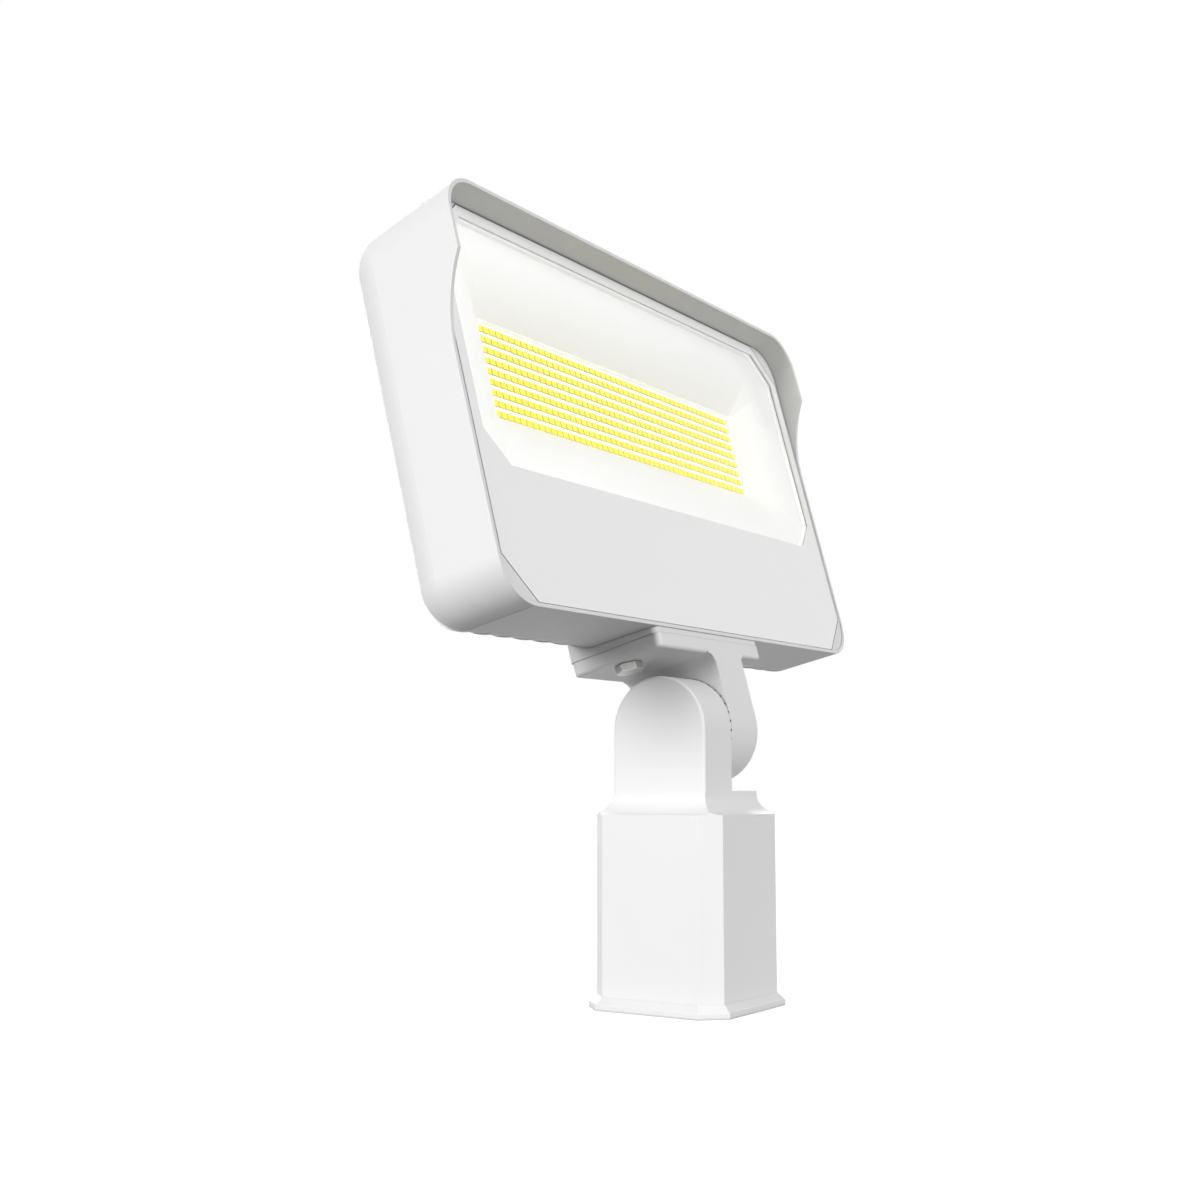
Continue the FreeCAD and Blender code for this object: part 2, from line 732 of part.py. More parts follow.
def wall_spaces(wall):
    slant = math.sqrt(0.5)
    x = window_half_width
    high = window_top_cut / 2
    low = window_bottom_cut / 2
    high_travel = corner_travel(reflector_top_travel, window_top_cut)
    low_travel = corner_travel(reflector_bottom_travel, window_bottom_cut)
    walls = [(V(0, 0, window_top), V(0, 0, -1), reflector_top_travel)]
    walls.append((V(0, 0, window_bottom), V(0, 0, 1), reflector_bottom_travel))
    for s in (-1, 1):
        walls.append((V(s * x, 0, window_bottom), V(-s, 0, 0), reflector_side_travel))
        walls.append((V(s * (x - high), 0, window_top - high), V(-s * slant, 0, -slant), high_travel))
        walls.append((V(s * (x - low), 0, window_bottom + low), V(-s * slant, 0, slant), low_travel))
    spaces = []
    for origin, inward, travel in walls:
        along = inward.cross(AXIS_Y) * REACH
        face = wall_section(travel, wall, origin + AXIS_Y * reflector_front - along * 0.5, inward)
        spaces.append(face.extrude(along))
    return spaces


def reflector():
    light_room = common(wall_spaces(0))
    with_walls = common(wall_spaces(reflector_wall))
    return with_walls.cut(light_room)


# Light-emitting board
def led_chips():
    chips = []
    x_first = -chips_half_width
    z_first = chips_middle - chips_half_height
    y = chip_back - chip_thickness
    for row in range(chip_rows):
        for column in range(chip_columns):
            corner = V(x_first + column * chip_pitch_x, y, z_first + row * chip_pitch_z)
            chips.append(Part.makeBox(chip_length, chip_thickness, chip_height, corner))
    return Part.makeCompound(chips)


def board_screw_places():
    first = -board_screw_pitch * (board_screw_count - 1) / 2
    levels = (board_bottom + board_screw_edge, board_top - board_screw_edge)
    columns = [first + i * board_screw_pitch for i in range(board_screw_count)]
    return [V(x, board_front, z) for z in levels for x in columns]


def board_sheet(y0, y1):
    sheet = box(-board_half_width, board_half_width, y0, y1, board_bottom, board_top)
    radius = board_screw_radius + small_hole_gap
    return sheet.cut([rod(radius, place, AXIS_Y, y1 - board_front) for place in board_screw_places()])


def led_board():
    return board_sheet(board_front, board_front + board_thickness)


def thermal_pad():
    return board_sheet(board_front + board_thickness, floor_front)


def board_screws():
    screws = []
    for place in board_screw_places():
        head = rod(board_screw_head_radius, place, AXIS_Y * -1, board_screw_head_height)
        screws.append(joined([head, rod(board_screw_radius, place, AXIS_Y, board_screw_length)]))
    return Part.makeCompound(screws)


# Driver compartment
def driver_screw_places():
    y = compartment_back - driver_tab_thickness
    z = unit_bottom + driver_height / 2
    middle = driver_left + driver_length / 2
    reach = driver_length / 2 + driver_tab_length / 2
    return [V(middle + s * reach, y, z) for s in (-1, 1)]


def driver_case():
    right = driver_right
    bottom = unit_bottom
    front = compartment_back - driver_depth
    case = box(driver_left, right, front, compartment_back, bottom, bottom + driver_height)
    case = rounded(case, driver_edge_round, lambda e: not all_at(e, "y", compartment_back))
    middle = bottom + driver_height / 2
    tab_front = compartment_back - driver_tab_thickness
    half = driver_tab_height / 2
    tabs = box(driver_left - driver_tab_length, right + driver_tab_length, tab_front, compartment_back,
               middle - half, middle + half)
    radius = driver_screw_radius + small_hole_gap
    holes = [rod(radius, place, AXIS_Y, driver_tab_thickness) for place in driver_screw_places()]
    return joined([case, tabs]).cut(holes)


def driver_screws():
    screws = []
    for place in driver_screw_places():
        head = rod(driver_screw_head_radius, place, AXIS_Y * -1, driver_screw_head_height)
        screws.append(joined([head, rod(driver_screw_radius, place, AXIS_Y, driver_screw_length)]))
    return Part.makeCompound(screws)


def surge_protector():
    bottom = unit_bottom
    front = compartment_back - surge_depth
    right = surge_left + surge_length
    body = box(surge_left, right, front, compartment_back, bottom, bottom + surge_height)
    return rounded(body, driver_edge_round, lambda e: not all_at(e, "y", compartment_back))


def terminal_block():
    bottom = unit_bottom
    front = compartment_back - terminal_depth
    right = terminal_left + terminal_length
    body = box(terminal_left, right, front, compartment_back, bottom, bottom + terminal_height)
    middle = terminal_left + terminal_length / 2
    ways = []
    for i in range(terminal_ways):
        x = middle + terminal_way_pitch * (i - (terminal_ways - 1) / 2)
        at = V(x, compartment_back - terminal_depth / 2, bottom)
        ways.append(rod(terminal_bore_radius, at, AXIS_Z, terminal_height))
    return body.cut(ways)


def vent_plug():
    at = V(vent_slot_count * fin_pitch, compartment_back - vent_inner_reach, divider_bottom - vent_drop)
    seat = V(at.x, housing_back, at.z)
    shank = rod(vent_radius, at, AXIS_Y, housing_back - at.y)
    return joined([shank, rod(vent_head_radius, seat, AXIS_Y, vent_head_height)])


def wire_grommet():
    base = V(wire_hole_x, 0, pad_bottom)
    sleeve = rod(grommet_radius, base, AXIS_Z, compartment_floor - pad_bottom)
    flange = rod(grommet_flange_radius, V(wire_hole_x, 0, compartment_floor), AXIS_Z, grommet_flange_height)
    return joined([sleeve, flange]).cut(rod(wire_way_radius, base, AXIS_Z, REACH))


fixed_pieces = {
    "slipfitter_body": slipfitter_body,
    "clamp_screws": clamp_screws,
    "clamp_lock_nuts": clamp_nuts,
    "pivot_bolt": pivot_bolt,
    "pivot_washer": pivot_washer,
}
head_pieces = {
    "knuckle_bracket": knuckle_bracket,
    "bracket_seal": bracket_seal,
    "bracket_bolts": bracket_bolts,
    "housing": housing,
    "front_plate": front_plate,
    "frame_seal": frame_seal,
    "lens_seal": lens_seal,
    "glass_lens": glass_lens,
    "plate_screws": plate_screws,
    "reflector": reflector,
    "led_board": led_board,
    "led_chips": led_chips,
    "thermal_pad": thermal_pad,
    "board_screws": board_screws,
    "driver_case": driver_case,
    "driver_screws": driver_screws,
    "surge_protector": surge_protector,
    "terminal_block": terminal_block,
    "vent_plug": vent_plug,
    "wire_grommet": wire_grommet,
}

os.makedirs("parts", exist_ok=True)
for name, make in fixed_pieces.items():
    make().exportStep("parts/" + name + ".step")
for name, make in head_pieces.items():
    in_place(make()).exportStep("parts/" + name + ".step")
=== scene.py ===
import json
import math
import bmesh
import bpy
from mathutils import Matrix, Vector


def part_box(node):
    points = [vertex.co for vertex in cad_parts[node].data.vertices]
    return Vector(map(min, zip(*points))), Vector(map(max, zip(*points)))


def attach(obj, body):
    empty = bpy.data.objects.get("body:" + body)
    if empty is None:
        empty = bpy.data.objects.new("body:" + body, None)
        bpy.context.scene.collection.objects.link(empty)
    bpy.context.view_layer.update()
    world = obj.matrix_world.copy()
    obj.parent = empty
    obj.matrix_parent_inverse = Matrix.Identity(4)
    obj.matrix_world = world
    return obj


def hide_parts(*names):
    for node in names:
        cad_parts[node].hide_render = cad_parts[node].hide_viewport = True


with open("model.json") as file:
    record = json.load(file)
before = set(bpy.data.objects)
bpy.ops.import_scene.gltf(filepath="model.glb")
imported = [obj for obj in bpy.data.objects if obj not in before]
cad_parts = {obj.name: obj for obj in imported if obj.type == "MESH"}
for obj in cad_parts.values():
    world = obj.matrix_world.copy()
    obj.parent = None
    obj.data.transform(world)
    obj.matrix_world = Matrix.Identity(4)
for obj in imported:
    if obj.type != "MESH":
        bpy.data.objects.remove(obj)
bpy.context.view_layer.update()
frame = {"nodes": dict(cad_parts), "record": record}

# Viewpoint of the photograph
CAMERA_PLACE = (-0.8156, -0.4846, 0.1318)
CAMERA_PITCH = 96.70
CAMERA_HEADING = -56.13
CAMERA_LENS_MM = 46.65
CAMERA_SENSOR_MM = 36.0
CAMERA_CLIP_START = 0.01

# Lean of the head at rest, about its pivot
HEAD_LEAN = math.radians(15.0)
PIVOT = Vector((0.0, 0.0, 0.163))
HEAD_PLACE = Matrix.Translation(PIVOT) @ Matrix.Rotation(-HEAD_LEAN, 4, "X")
HEAD_LEVEL = HEAD_PLACE.inverted()

# Window in the front plate: the pane reaches past it, and its corners are cut
PANE_OVERLAP = 0.0036
WINDOW_TOP_CUT = 0.0200
WINDOW_BOTTOM_CUT = 0.0185
PANE_IOR = 1.2

# Painted light that the tray and the board give off, though they are no lamps, and the light of the
# packages
RIM_FADE = (-0.0022, 0.0006)
RIM_GLOW = (0.33, 0.33, 0.325)
TRAY_GLOW_LEFT = (0.14, 0.14, 0.13)
TRAY_GLOW_RIGHT = (0.0, 0.0, 0.0)
TRAY_GLOW_DEEP = (0.05, 0.04, 0.0)
LIP_DEPTH = 0.0026
LIP_FADE = 0.0004
LIP_GLOW = (0.30, 0.30, 0.40)
BOARD_GLOW = ((0.26, 0.26, 0.21), (0.32, 0.32, 0.27))
PHOSPHOR_GLOW = ((0.20, 0.18, 0.008), (0.26, 0.235, 0.012))
FLANK_GLOW = ((0.02, 0.018, 0.001), (0.03, 0.027, 0.001))
CAST_GLOW = (0.05, 0.10, 0.15)

# Finishes
EDGE_RANGE = (0.995, 0.85)
# Painted shade for the casting: how closed a corner or recess must be, how far to look, and the darkening
# tone.
RECESS_RANGE = (0.95, 0.25)
RECESS_REACH = 0.0016
RECESS_PAINTED_SHADE = (0.4, 0.4, 0.4)
PEEL_STRENGTH = 0.5
# Painted edge tone: a painted highlight on the casting, painted shade on the plate.
WHITE_PAINTED_EDGE = (0.78, 0.78, 0.78)

# Light-emitting packages on the board
CHIP_COLUMNS = 48
CHIP_ROWS = 9
CHIP_LENGTH = 0.0056
CHIP_HEIGHT = 0.0040
CHIP_CORNER_CUT = 0.0004
CHIP_SHOULDER = 0.62
CHIP_TOP_INSETS = (0.00028, 0.00012)

# Fasteners
HEX_STEPS = 48
HEX_TURNS = [2 * math.pi * i / HEX_STEPS + math.pi / 6 for i in range(HEX_STEPS)]
HEX_CHAMFER = math.tan(math.radians(30.0))
HEX_CROWN = 0.475
HEAD_TOP_INSET = 0.82
NUT_HOLE_CHAMFER = 0.12
WASHER_FACE = 0.0006
THREAD_ROOT = 0.48
THREAD_CREST = 0.06
BRACKET_BOLT_X = 0.0484
BRACKET_BOLT_TURN = Matrix.Rotation(math.radians(30.0), 4, "Z")
BRACKET_UNDERSIDE = 0.0396
BRACKET_BOLT_FLATS = 0.0143
BRACKET_BOLT_HEAD = 0.0055
BRACKET_BOLT_RADIUS = 0.00475
BRACKET_BOLT_LENGTH = 0.0190
PIVOT_HEAD_FLATS = 0.018
PIVOT_HEAD_HEIGHT = 0.0075
PIVOT_BOLT_RADIUS = 0.006
CLAMP_LEVELS = (0.030, 0.082)
CLAMP_TIP = 0.0314
CLAMP_LENGTH = 0.020
CLAMP_RADIUS = 0.005
CLAMP_CORE_RADIUS = 0.0041
CLAMP_PITCH = 0.0015
CLAMP_SOCKET_FLATS = 0.005
CLAMP_SOCKET_DEPTH = 0.005
CLAMP_SOCKET_MOUTH = 0.58
CLAMP_SOCKET_CHAMFER = 0.3
CLAMP_NUT_SEAT = 0.0433
CLAMP_NUT_FLATS = 0.016
CLAMP_NUT_HEIGHT = 0.005

# Studio. Each lamp has a bearing, a height, a strength and a spread, with angles in degrees
FLOOR_HALF_SIZE = 6.0
FLOOR_TONES = (0.225, 0.245)
FLOOR_ROUGHNESS = 0.9
FLOOR_LIFT = 0.88
AMBIENT = 0.03
WHITE = (1.0, 1.0, 1.0, 1.0)
LAMP_DISTANCE = 3.0
LAMPS = {
    "left_lamp": (100.0, 15.0, 3.28, 28.0),
    "front_lamp": (4.0, 20.0, 2.0, 35.0),
    "high_lamp": (5.0, 40.0, 0.5, 35.0),
    "back_lamp": (-125.0, 16.0, 2.6, 45.0),
}


# Shader nodes
def add(tree, kind, inputs=None, **settings):
    made = tree.nodes.new(kind)
    for name, value in settings.items():
        setattr(made, name, value)
    for socket, value in (inputs or {}).items():
        if isinstance(value, bpy.types.NodeSocket):
            tree.links.new(value, made.inputs[socket])
        else:
            made.inputs[socket].default_value = value
    return made


def combine(tree, operation, first, second):
    return add(tree, "ShaderNodeMath", {0: first, 1: second}, operation=operation).outputs[0]


def share_between(tree, value, start, end):
    # 0 up to the start, 1 from the end on.
    limits = {"Value": value, "From Min": start, "From Max": end}
    return add(tree, "ShaderNodeMapRange", limits, clamp=True).outputs["Result"]


def spread(tree, value, low, high):
    limits = {"Value": value, "To Min": low, "To Max": high}
    return add(tree, "ShaderNodeMapRange", limits).outputs["Result"]


def blend_colours(tree, factor, first, second, blend_type="MIX"):
    mixed = add(tree, "ShaderNodeMix", {"Factor": factor}, data_type="RGBA", blend_type=blend_type)
    for socket, colour in ((mixed.inputs[6], first), (mixed.inputs[7], second)):
        if isinstance(colour, bpy.types.NodeSocket):
            tree.links.new(colour, socket)
        else:
            socket.default_value = (*colour, 1.0)
    return mixed.outputs[2]


def mix_shaders(tree, factor, first, second):
    return add(tree, "ShaderNodeMixShader", {0: factor, 1: first, 2: second}).outputs[0]


def seen_directly(tree):
    # 1 where the camera sees a surface, straight on, in a mirror or through the pane.
    path = add(tree, "ShaderNodeLightPath").outputs
    seen = combine(tree, "MAXIMUM", path["Is Camera Ray"], path["Is Glossy Ray"])
    return combine(tree, "MAXIMUM", seen, path["Is Transmission Ray"])


# Effects that finishes share
def effect(name, inputs, outputs):
    tree = bpy.data.node_groups.new(name, "ShaderNodeTree")
    for label, value in inputs.items():
        socket = tree.interface.new_socket(label, in_out="INPUT", socket_type="NodeSocketFloat")
        socket.default_value = value
    for label, kind in outputs.items():
        tree.interface.new_socket(label, in_out="OUTPUT", socket_type=kind)
    return tree, tree.nodes.new("NodeGroupInput"), tree.nodes.new("NodeGroupOutput")


def use(tree, group, **values):
    placed = add(tree, "ShaderNodeGroup", node_tree=group)
    for label, value in values.items():
        placed.inputs[label.replace("_", " ")].default_value = value
    return placed


def coat_skin_effect():
    # Fine peel of a sprayed or moulded skin, and broad faint clouds of tone.
    tree, given, out = effect(
        "coat_skin",
        {"Grain Scale": 900.0, "Cloud Scale": 14.0},
        {"Peel": "NodeSocketFloat", "Cloud": "NodeSocketFloat"},
    )
    place = add(tree, "ShaderNodeTexCoord").outputs["Object"]
    fine = {"Vector": place, "Scale": given.outputs["Grain Scale"], "Detail": 2.0}
    broad = {"Vector": place, "Scale": given.outputs["Cloud Scale"], "Detail": 4.0}
    tree.links.new(add(tree, "ShaderNodeTexNoise", fine).outputs["Fac"], out.inputs["Peel"])
    tree.links.new(add(tree, "ShaderNodeTexNoise", broad).outputs["Fac"], out.inputs["Cloud"])
    return tree


def soft_edge_effect():
    # Rounds the light on sharp edges, and marks where those edges are.
    tree, given, out = effect(
        "soft_edge", {"Radius": 0.0006}, {"Normal": "NodeSocketVector", "Edge": "NodeSocketFloat"}
    )
    rounded = add(tree, "ShaderNodeBevel", {"Radius": given.outputs["Radius"]}, samples=6).outputs["Normal"]
    flat = add(tree, "ShaderNodeNewGeometry").outputs["Normal"]
    dot = add(tree, "ShaderNodeVectorMath", {0: rounded, 1: flat}, operation="DOT_PRODUCT")
    edge = share_between(tree, dot.outputs["Value"], *EDGE_RANGE)
    tree.links.new(rounded, out.inputs["Normal"])
    tree.links.new(edge, out.inputs["Edge"])
    return tree


def recess_effect():
    # Marks corners and recesses that are open to little of the room, where the casting gets painted shade.
    tree, given, out = effect("recess", {"Reach": 0.004}, {"Recess": "NodeSocketFloat"})
    reach = {"Distance": given.outputs["Reach"]}
    open_share = add(tree, "ShaderNodeAmbientOcclusion", reach, samples=8).outputs["AO"]
    tree.links.new(share_between(tree, open_share, *RECESS_RANGE), out.inputs["Recess"])
    return tree


COAT_SKIN = coat_skin_effect()
SOFT_EDGE = soft_edge_effect()
RECESS = recess_effect()


# Finishes
def grey(tone):
    return (tone, tone, tone)


def new_finish(name):
    finish = bpy.data.materials.new(name)
    finish.use_nodes = True
    tree = finish.node_tree
    tree.nodes.clear()
    shader = add(tree, "ShaderNodeBsdfPrincipled")
    out = add(tree, "ShaderNodeOutputMaterial", {"Surface": shader.outputs["BSDF"]})
    return finish, tree, shader, out


def glow_between(tree, shader, factor, first, second):
    tree.links.new(blend_colours(tree, factor, first, second), shader.inputs["Emission Color"])
    shader.inputs["Emission Strength"].default_value = 1.0


def coated_finish(name, dark, light, rough, peel_depth, grain, edge_radius, edge_tone):
    # A sprayed, moulded or cast skin: faint clouds, fine peel and edges that catch the light. The edges
    # also get a painted edge tone: a painted highlight where it is lighter than the body, painted shade
    # where it is darker.
    finish, tree, shader, out = new_finish(name)
    skin = use(tree, COAT_SKIN, Grain_Scale=grain)
    rim = use(tree, SOFT_EDGE, Radius=edge_radius)
    body = blend_colours(tree, skin.outputs["Cloud"], dark, light)
    # Painted edge tone over the body along sharp edges.
    edge_painted = blend_colours(tree, rim.outputs["Edge"], body, edge_tone)
    tree.links.new(edge_painted, shader.inputs["Base Color"])
    tree.links.new(spread(tree, skin.outputs["Cloud"], *rough), shader.inputs["Roughness"])
    peel = {"Strength": PEEL_STRENGTH, "Distance": peel_depth}
    bump = add(tree, "ShaderNodeBump", peel)
    tree.links.new(skin.outputs["Peel"], bump.inputs["Height"])
    tree.links.new(rim.outputs["Normal"], bump.inputs["Normal"])
    tree.links.new(bump.outputs["Normal"], shader.inputs["Normal"])
    return finish, tree, shader


def plain_coat(name, **look):
    return coated_finish(name, **look)[0]


def casting_finish():
    # Coated casting, with painted shade that makes it a little darker where surfaces meet.
    finish, tree, shader = coated_finish(
        "white_cast_coat",
        dark=grey(0.69),
        light=grey(0.71),
        rough=(0.44, 0.52),
        peel_depth=0.00006,
        grain=900.0,
        edge_radius=0.0007,
        edge_tone=WHITE_PAINTED_EDGE,
    )
    # Painted shade: the base colour is multiplied darker in corners and recesses.
    recess_shade_mask = use(tree, RECESS, Reach=RECESS_REACH)
    body = shader.inputs["Base Color"].links[0].from_socket
    shaded = blend_colours(tree, recess_shade_mask.outputs["Recess"], body, RECESS_PAINTED_SHADE, "MULTIPLY")
    tree.links.new(shaded, shader.inputs["Base Color"])
    return finish


def level_box(node):
    # Lowest and highest corners of a node of the head, with the head's lean taken out.
    corners = [HEAD_LEVEL @ v.co for v in frame["nodes"][node].data.vertices]
    low = Vector([min(c[i] for c in corners) for i in range(3)])
    high = Vector([max(c[i] for c in corners) for i in range(3)])
    return low, high


def level_axes(tree):
    # Place of a surface point in the head's own axes, with the lean taken out.
    place = add(tree, "ShaderNodeTexCoord").outputs["Object"]
    level = add(tree, "ShaderNodeMapping", {"Vector": place})
    level.inputs["Location"].default_value = HEAD_LEVEL.translation
    level.inputs["Rotation"].default_value = HEAD_LEVEL.to_euler()
    return add(tree, "ShaderNodeSeparateXYZ", {0: level.outputs["Vector"]}).outputs


def past_window(tree, axes):
    # How far a point of the tray lies outside the window's outline, in metres.
    low, high = level_box("glass_lens")
    x = add(tree, "ShaderNodeMath", {0: axes["X"]}, operation="ABSOLUTE").outputs[0]
    past_side = combine(tree, "SUBTRACT", x, high.x - PANE_OVERLAP)
    past_top = combine(tree, "SUBTRACT", axes["Z"], high.z - PANE_OVERLAP)
    past_bottom = combine(tree, "SUBTRACT", low.z + PANE_OVERLAP, axes["Z"])
    farthest = past_side
    for past_end, cut in ((past_top, WINDOW_TOP_CUT), (past_bottom, WINDOW_BOTTOM_CUT)):
        past_corner = combine(tree, "ADD", combine(tree, "ADD", past_side, past_end), cut)
        farthest = combine(tree, "MAXIMUM", farthest, past_end)
        farthest = combine(tree, "MAXIMUM", farthest, past_corner)
    return farthest


def tray_finish():
    # White tray with painted light: its walls glow weakly, and its rim behind the plate and its lip glow
    # more.
    finish, tree, shader = coated_finish(
        "white_tray",
        dark=(0.945, 0.945, 0.935),
        light=(0.96, 0.96, 0.955),
        rough=(0.50, 0.60),
        peel_depth=0.00002,
        grain=1500.0,
        edge_radius=0.0003,
        edge_tone=grey(0.95),
    )
    low, high = level_box("reflector")
    axes = level_axes(tree)
    lip_start = high.y - LIP_DEPTH
    across = share_between(tree, axes["X"], low.x, high.x)
    deep = share_between(tree, axes["Y"], low.y, high.y)
    lip = share_between(tree, axes["Y"], lip_start, lip_start + LIP_FADE)
    rim = share_between(tree, past_window(tree, axes), *RIM_FADE)
    # Painted light: more at the left end than the right, warm towards the board, strong on the lip and on
    # the rim where the plate casts its shadow.
    walls = blend_colours(tree, across, TRAY_GLOW_LEFT, TRAY_GLOW_RIGHT)
    walls = blend_colours(tree, deep, walls, TRAY_GLOW_DEEP)
    walls = blend_colours(tree, lip, walls, LIP_GLOW)
    glow_between(tree, shader, rim, walls, RIM_GLOW)
    return finish


def board_finish():
    # White solder mask, with a painted glow that stands for the light of the packages beside it.
    finish, tree, shader = coated_finish(
        "board_mask",
        dark=(0.93, 0.93, 0.90),
        light=(0.95, 0.95, 0.93),
        rough=(0.40, 0.50),
        peel_depth=0.00002,
        grain=2200.0,
        edge_radius=0.0002,
        edge_tone=(0.94, 0.94, 0.92),
    )
    skin = use(tree, COAT_SKIN, Cloud_Scale=60.0)
    glow_between(tree, shader, skin.outputs["Cloud"], *BOARD_GLOW)
    return finish


def steel_finish():
    finish, tree, shader = coated_finish(
        "plain_steel",
        dark=(0.42, 0.42, 0.415),
        light=(0.52, 0.52, 0.51),
        rough=(0.28, 0.38),
        peel_depth=0.00002,
        grain=2600.0,
        edge_radius=0.0004,
        edge_tone=(0.72, 0.72, 0.71),
    )
    shader.inputs["Metallic"].default_value = 1.0
    return finish


def pane_finish():
    # Clear pane: shadow and bounce light pass straight through, so the tray behind it is lit.
    finish, tree, shader, out = new_finish("clear_pane")
    skin = use(tree, COAT_SKIN, Cloud_Scale=9.0)
    tint = blend_colours(tree, skin.outputs["Cloud"], (0.985, 0.99, 0.987), grey(1.0))
    tree.links.new(tint, shader.inputs["Base Color"])
    tree.links.new(spread(tree, skin.outputs["Cloud"], 0.0, 0.012), shader.inputs["Roughness"])
    shader.inputs["Transmission Weight"].default_value = 1.0
    shader.inputs["IOR"].default_value = PANE_IOR
    path = add(tree, "ShaderNodeLightPath").outputs
    passing = combine(tree, "MAXIMUM", path["Is Shadow Ray"], path["Is Diffuse Ray"])
    clear = add(tree, "ShaderNodeBsdfTransparent")
    mixed = mix_shaders(tree, passing, shader.outputs["BSDF"], clear.outputs["BSDF"])
    tree.links.new(mixed, out.inputs["Surface"])
    return finish


def package_finish(name, dark, light, edge_tone, glow):
    # The glow that is seen is yellow, and the light that a package casts has its own colour.
    finish, tree, shader = coated_finish(
        name,
        dark=dark,
        light=light,
        rough=(0.30, 0.42),
        peel_depth=0.00003,
        grain=3000.0,
        edge_radius=0.0002,
        edge_tone=edge_tone,
    )
    skin = use(tree, COAT_SKIN, Cloud_Scale=160.0)
    shown = blend_colours(tree, skin.outputs["Cloud"], *glow)
    glow_between(tree, shader, seen_directly(tree), CAST_GLOW, shown)
    return finish


finishes = {
    "white_casting": casting_finish(),
    "white_plate": plain_coat(
        "white_plate_coat",
        dark=grey(0.85),
        light=grey(0.865),
        rough=(0.34, 0.40),
        peel_depth=0.00003,
        grain=1300.0,
        edge_radius=0.0004,
        edge_tone=WHITE_PAINTED_EDGE,
    ),
    "stainless": steel_finish(),
    "grey_silicone": plain_coat(
        "grey_seal",
        dark=grey(0.56),
        light=grey(0.62),
        rough=(0.6, 0.75),
        peel_depth=0.00005,
        grain=1800.0,
        edge_radius=0.0002,
        edge_tone=grey(0.6),
    ),
    "clear_glass": pane_finish(),
    "white_reflector": tray_finish(),
    "white_board": board_finish(),
    "phosphor": package_finish(
        "yellow_phosphor",
        dark=(0.88, 0.80, 0.04),
        light=(0.92, 0.86, 0.06),
        edge_tone=(0.8, 0.7, 0.04),
        glow=PHOSPHOR_GLOW,
    ),
    "chip_flank": package_finish(
        "amber_flank",
        dark=(0.70, 0.60, 0.05),
        light=(0.78, 0.68, 0.06),
        edge_tone=(0.8, 0.7, 0.06),
        glow=FLANK_GLOW,
    ),
    "driver_metal": plain_coat(
        "driver_sheet",
        dark=(0.50, 0.50, 0.52),
        light=(0.60, 0.60, 0.62),
        rough=(0.35, 0.45),
        peel_depth=0.00004,
        grain=1500.0,
        edge_radius=0.0005,
        edge_tone=(0.66, 0.66, 0.68),
    ),
    "black_plastic": plain_coat(
        "black_moulding",
        dark=grey(0.030),
        light=grey(0.045),
        rough=(0.42, 0.55),
        peel_depth=0.00006,
        grain=1400.0,
        edge_radius=0.0004,
        edge_tone=grey(0.07),
    ),
    "black_rubber": plain_coat(
        "black_rubber",
        dark=grey(0.022),
        light=grey(0.034),
        rough=(0.6, 0.75),
        peel_depth=0.00006,
        grain=1600.0,
        edge_radius=0.0003,
        edge_tone=grey(0.05),
    ),
}


def dress_cad_nodes():
    for part in frame["record"]["subparts"]:
        piece = frame["nodes"][part["node"]]
        piece.data.materials.clear()
        piece.data.materials.append(finishes[part["material_slot"]])


# Pieces
def mesh_piece(name, shape, wears, body, slot, *replaced):
    mesh = bpy.data.meshes.new(name)
    bmesh.ops.recalc_face_normals(shape, faces=shape.faces)
    shape.to_mesh(mesh)
    shape.free()
    for finish in wears:
        mesh.materials.append(finish)
    piece = bpy.data.objects.new(name, mesh)
    bpy.context.scene.collection.objects.link(piece)
    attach(piece, body)
    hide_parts(*replaced)


def ring(shape, place, points):
    return [shape.verts.new(place @ Vector(p)) for p in points]


def bridge(shape, first, second, wears=0):
    for i in range(len(first)):
        j = (i + 1) % len(first)
        shape.faces.new((first[i], first[j], second[j], second[i])).material_index = wears


def skin_loops(shape, place, loops):
    # Joins each loop to the next one, and closes both ends.
    rings = [ring(shape, place, loop) for loop in loops]
    for first, second in zip(rings, rings[1:]):
        bridge(shape, first, second)
    shape.faces.new(rings[0])
    shape.faces.new(rings[-1])


def hex_reach(flats, turn):
    side = math.pi / 3
    return flats / 2 / math.cos((turn + side / 2) % side - side / 2)


def hex_loop(flats, height_at):
    reaches = [hex_reach(flats, t) for t in HEX_TURNS]
    return [(r * math.cos(t), r * math.sin(t), height_at(r)) for r, t in zip(reaches, HEX_TURNS)]


def turned_circle(radius, z):
    return [(radius * math.cos(t), radius * math.sin(t), z) for t in HEX_TURNS]


def hex_head(shape, place, flats, height, shank_radius, shank_length):
    # Shank below the seat, washer face, six flats and the turned chamfer on top.
    crown = HEX_CROWN * flats
    loops = [turned_circle(shank_radius, -shank_length), turned_circle(shank_radius, 0.0)]
    loops += [turned_circle(crown, 0.0), turned_circle(crown, WASHER_FACE)]
    loops.append(hex_loop(flats, lambda r: WASHER_FACE))
    loops.append(hex_loop(flats, lambda r: height - (r - crown) * HEX_CHAMFER))
    loops += [turned_circle(crown, height), turned_circle(crown * HEAD_TOP_INSET, height)]
    skin_loops(shape, place, loops)


